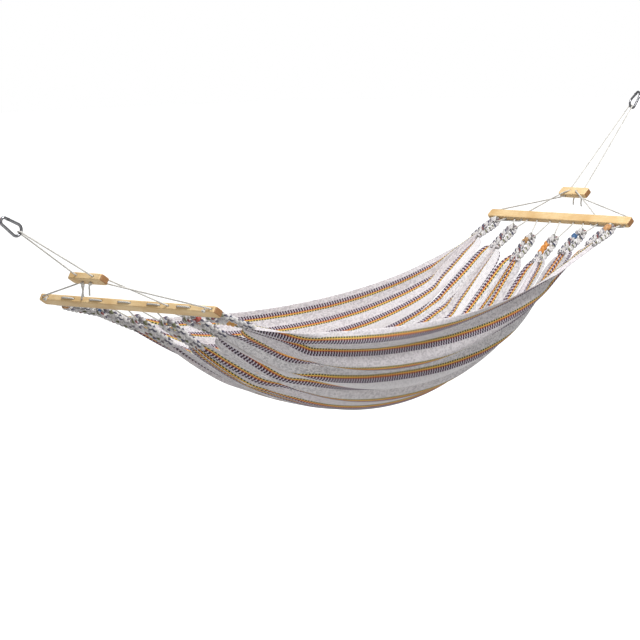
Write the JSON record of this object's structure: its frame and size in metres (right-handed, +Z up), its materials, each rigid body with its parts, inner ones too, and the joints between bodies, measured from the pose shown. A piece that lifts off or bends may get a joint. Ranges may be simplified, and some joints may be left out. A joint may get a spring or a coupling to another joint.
{
  "type": "hammock",
  "caption": "Hammock with wooden spreader bars: striped woven bed on braided loops, laced bars, cord suspension with sliding wooden tensioners and steel snap hooks.",
  "frame": {"origin": "where the left snap hook hangs on its anchor, at the inside of the hook's narrow end", "axes": "+X along the span towards the right anchor, +Y across the bed to its far side, +Z up"},
  "size_m": [3.5484, 0.8416, 1.1592],
  "materials": {
    "steel": "bright zinc-plated",
    "wood": "pale, fine-sanded",
    "white_cord": "laid cord",
    "braid_yarn": "mottled yarn braid",
    "striped_cloth": "ribbed weave with coloured stripes"
  },
  "bodies": {
    "hooks": {"left_snap_hook": "steel", "left_gate_pin": "steel", "left_gate_spring": "steel", "right_snap_hook": "steel", "right_gate_pin": "steel", "right_gate_spring": "steel"},
    "hammock": {"bed_cloth": "striped_cloth", "left_loop_1": "braid_yarn", "left_loop_2": "braid_yarn", "left_loop_3": "braid_yarn", "left_loop_4": "braid_yarn", "left_loop_5": "braid_yarn", "left_loop_6": "braid_yarn", "right_loop_1": "braid_yarn", "right_loop_2": "braid_yarn", "right_loop_3": "braid_yarn", "right_loop_4": "braid_yarn", "right_loop_5": "braid_yarn", "right_loop_6": "braid_yarn", "left_spreader_bar": "wood", "left_lacing_cord": "white_cord", "left_hanging_cord": "white_cord", "left_fan_cord_near": "white_cord", "left_fan_cord_far": "white_cord", "right_spreader_bar": "wood", "right_lacing_cord": "white_cord", "right_hanging_cord": "white_cord", "right_fan_cord_near": "white_cord", "right_fan_cord_far": "white_cord"},
    "left_gate": {"left_hook_gate": "steel"},
    "left_tensioner": {"left_tensioner": "wood", "left_tensioner_knots": "white_cord"},
    "right_gate": {"right_hook_gate": "steel"},
    "right_tensioner": {"right_tensioner": "wood", "right_tensioner_knots": "white_cord"}
  },
  "joints": [
    {"name": "hammock_swing", "type": "hinge", "parent": "hooks", "child": "hammock", "pos_m": [0.07169, 0, -0.04567], "axis": [0.9962, 0, 0.0875], "range_deg": [-25, 25], "deforming": ["left_hanging_cord", "right_hanging_cord"]},
    {"name": "left_gate_opening", "type": "hinge", "parent": "hooks", "child": "left_gate", "pos_m": [0.02339, 0, 0.0018], "axis": [0, 1, 0], "range_deg": [0, 25], "stiffness_Nm_per_rad": 0.15, "springref_deg": -22.92, "deforming": ["left_gate_spring"]},
    {"name": "right_gate_opening", "type": "hinge", "parent": "hooks", "child": "right_gate", "pos_m": [3.50197, 0, 0.3056], "axis": [0, -1, 0], "range_deg": [0, 25], "stiffness_Nm_per_rad": 0.15, "springref_deg": -22.92, "deforming": ["right_gate_spring"]},
    {"name": "left_tensioner_slide", "type": "slide", "parent": "hammock", "child": "left_tensioner", "axis": [-0.8434, 0, 0.5373], "range_m": [-0.08, 0.15], "deforming": ["left_hanging_cord", "left_fan_cord_near", "left_fan_cord_far"]},
    {"name": "right_tensioner_slide", "type": "slide", "parent": "hammock", "child": "right_tensioner", "axis": [0.7604, 0, 0.6494], "range_m": [-0.08, 0.15], "deforming": ["right_hanging_cord", "right_fan_cord_near", "right_fan_cord_far"]}
  ]
}
